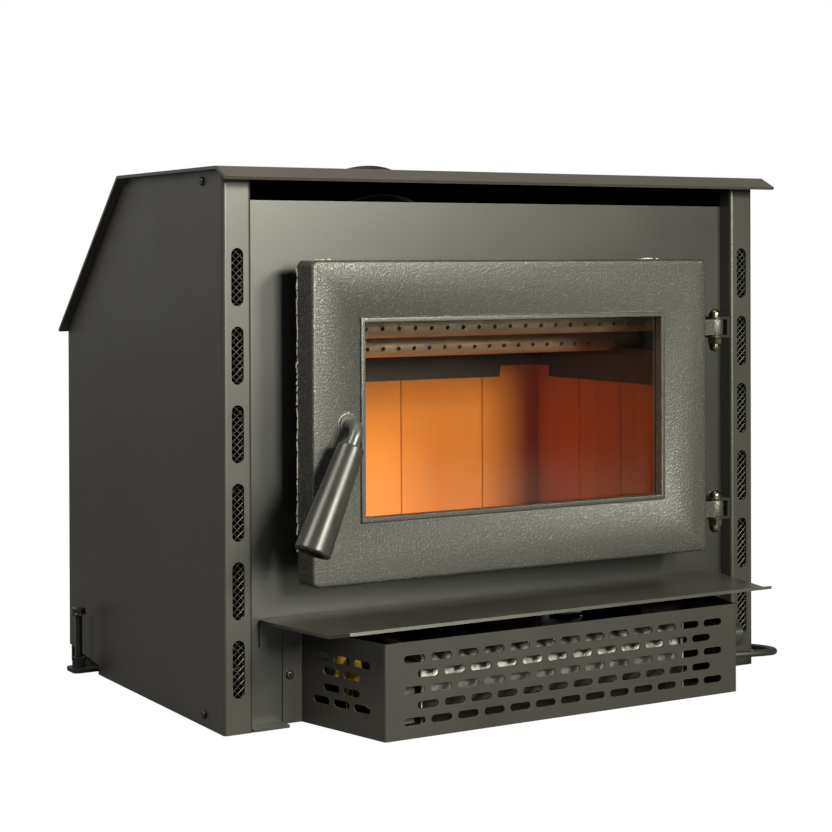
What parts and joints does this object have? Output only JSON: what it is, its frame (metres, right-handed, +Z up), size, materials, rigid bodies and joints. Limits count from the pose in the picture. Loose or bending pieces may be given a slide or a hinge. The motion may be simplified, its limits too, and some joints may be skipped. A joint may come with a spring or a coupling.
{
  "type": "wood fireplace insert",
  "caption": "Wood-burning fireplace insert: brick-lined firebox in a vented steel casing, glazed cast door, ash shelf, blower box, flue collar and mains lead.",
  "frame": {"origin": "centre of the casing's footprint on the floor it stands on", "axes": "+Z up, -Y out through the door towards the room, +X to the hinge side of the door"},
  "size_m": [0.7748, 0.5246, 0.547],
  "materials": {
    "casing_paint": "satin",
    "roof_paint": "satin",
    "plate_paint": "satin",
    "door_iron": "sand-cast, matt",
    "firebox_steel": "heat-darkened",
    "firebrick": "matt",
    "baffle_fibre": "matt",
    "mesh_steel": "bare",
    "zinc_steel": "zinc-plated",
    "tube_steel": "heat-tinted",
    "bright_steel": "plated",
    "box_paint": "satin",
    "shelf_paint": "satin",
    "window_glass": "clear ceramic glass",
    "gasket_fibre": "woven",
    "rope_fibre": "woven, graphited",
    "grip_black": "satin",
    "black_plastic": "satin",
    "wire_nut_yellow": "gloss",
    "copper_winding": "enamelled wire",
    "cord_black": "satin"
  },
  "bodies": {
    "casing": {"base_plate": "casing_paint", "right_side_panel": "casing_paint", "left_side_panel": "casing_paint", "stile_mesh": "mesh_steel", "top_cover": "roof_paint", "roof_angles": "casing_paint", "rear_panel": "casing_paint", "flue_collar": "firebox_steel", "front_plate": "plate_paint", "door_seat": "firebox_steel", "firebox_floor": "firebox_steel", "firebox_supports": "zinc_steel", "firebox_walls": "firebox_steel", "firebox_top": "firebox_steel", "firebox_slope": "firebox_steel", "rear_firebricks": "firebrick", "side_firebricks": "firebrick", "floor_firebricks": "firebrick", "brick_retainers": "firebox_steel", "front_air_tube": "tube_steel", "rear_air_tube": "tube_steel", "baffle_board": "baffle_fibre", "ash_shelf": "shelf_paint", "air_slide_guides": "firebox_steel", "hinge_brackets": "box_paint", "hinge_bolts": "bright_steel", "hinge_cap_nuts": "bright_steel", "blower_box": "box_paint", "blower_tray": "box_paint", "scroll_housing": "zinc_steel", "blower_end_plates": "zinc_steel", "motor_stack": "tube_steel", "motor_coil": "copper_winding", "wire_nuts": "wire_nut_yellow", "speed_control": "black_plastic", "levelling_brackets": "casing_paint", "casing_screws": "bright_steel", "strain_relief": "black_plastic", "power_cord": "cord_black", "cord_coil": "cord_black", "power_plug": "cord_black"},
    "door": {"door_frame": "door_iron", "door_rope": "rope_fibre", "door_glass": "window_glass", "glass_gasket": "gasket_fibre", "glass_clips": "bright_steel"},
    "handle": {"handle_shaft": "bright_steel", "handle_grip": "grip_black", "grip_screw": "bright_steel", "handle_collars": "bright_steel", "latch_cam": "tube_steel", "latch_nut": "bright_steel"},
    "blower_rotor": {"blower_wheel": "zinc_steel", "blower_shaft": "bright_steel", "motor_rotor": "tube_steel"},
    "speed_knob": {"speed_knob": "black_plastic"},
    "air_control": {"air_slide": "zinc_steel", "air_control_rod": "bright_steel"},
    "right_leveller": {"right_levelling_bolt": "bright_steel"},
    "left_leveller": {"left_levelling_bolt": "bright_steel"}
  },
  "joints": [
    {"name": "door_hinge", "type": "hinge", "parent": "casing", "child": "door", "pos_m": [0.2427, -0.227, 0.27275], "axis": [0, 0, 1], "range_deg": [0, 105]},
    {"name": "handle_turn", "type": "hinge", "parent": "door", "child": "handle", "pos_m": [-0.2065, -0.2297, 0.2869], "axis": [0, -1, 0], "range_deg": [0, 60]},
    {"name": "blower_spin", "type": "hinge", "parent": "casing", "child": "blower_rotor", "pos_m": [0, -0.252, 0.046], "axis": [1, 0, 0], "continuous": true},
    {"name": "speed_turn", "type": "hinge", "parent": "casing", "child": "speed_knob", "pos_m": [0.21779, -0.2747, 0.0534], "axis": [0.9718, -0.2357, 0], "range_deg": [0, 270]},
    {"name": "air_control_slide", "type": "slide", "parent": "casing", "child": "air_control", "axis": [0, 1, 0], "range_m": [0, 0.035]},
    {"name": "right_levelling", "type": "slide", "parent": "casing", "child": "right_leveller", "axis": [0, 0, -1], "range_m": [0, 0.035]},
    {"name": "left_levelling", "type": "slide", "parent": "casing", "child": "left_leveller", "axis": [0, 0, -1], "range_m": [0, 0.035]}
  ]
}
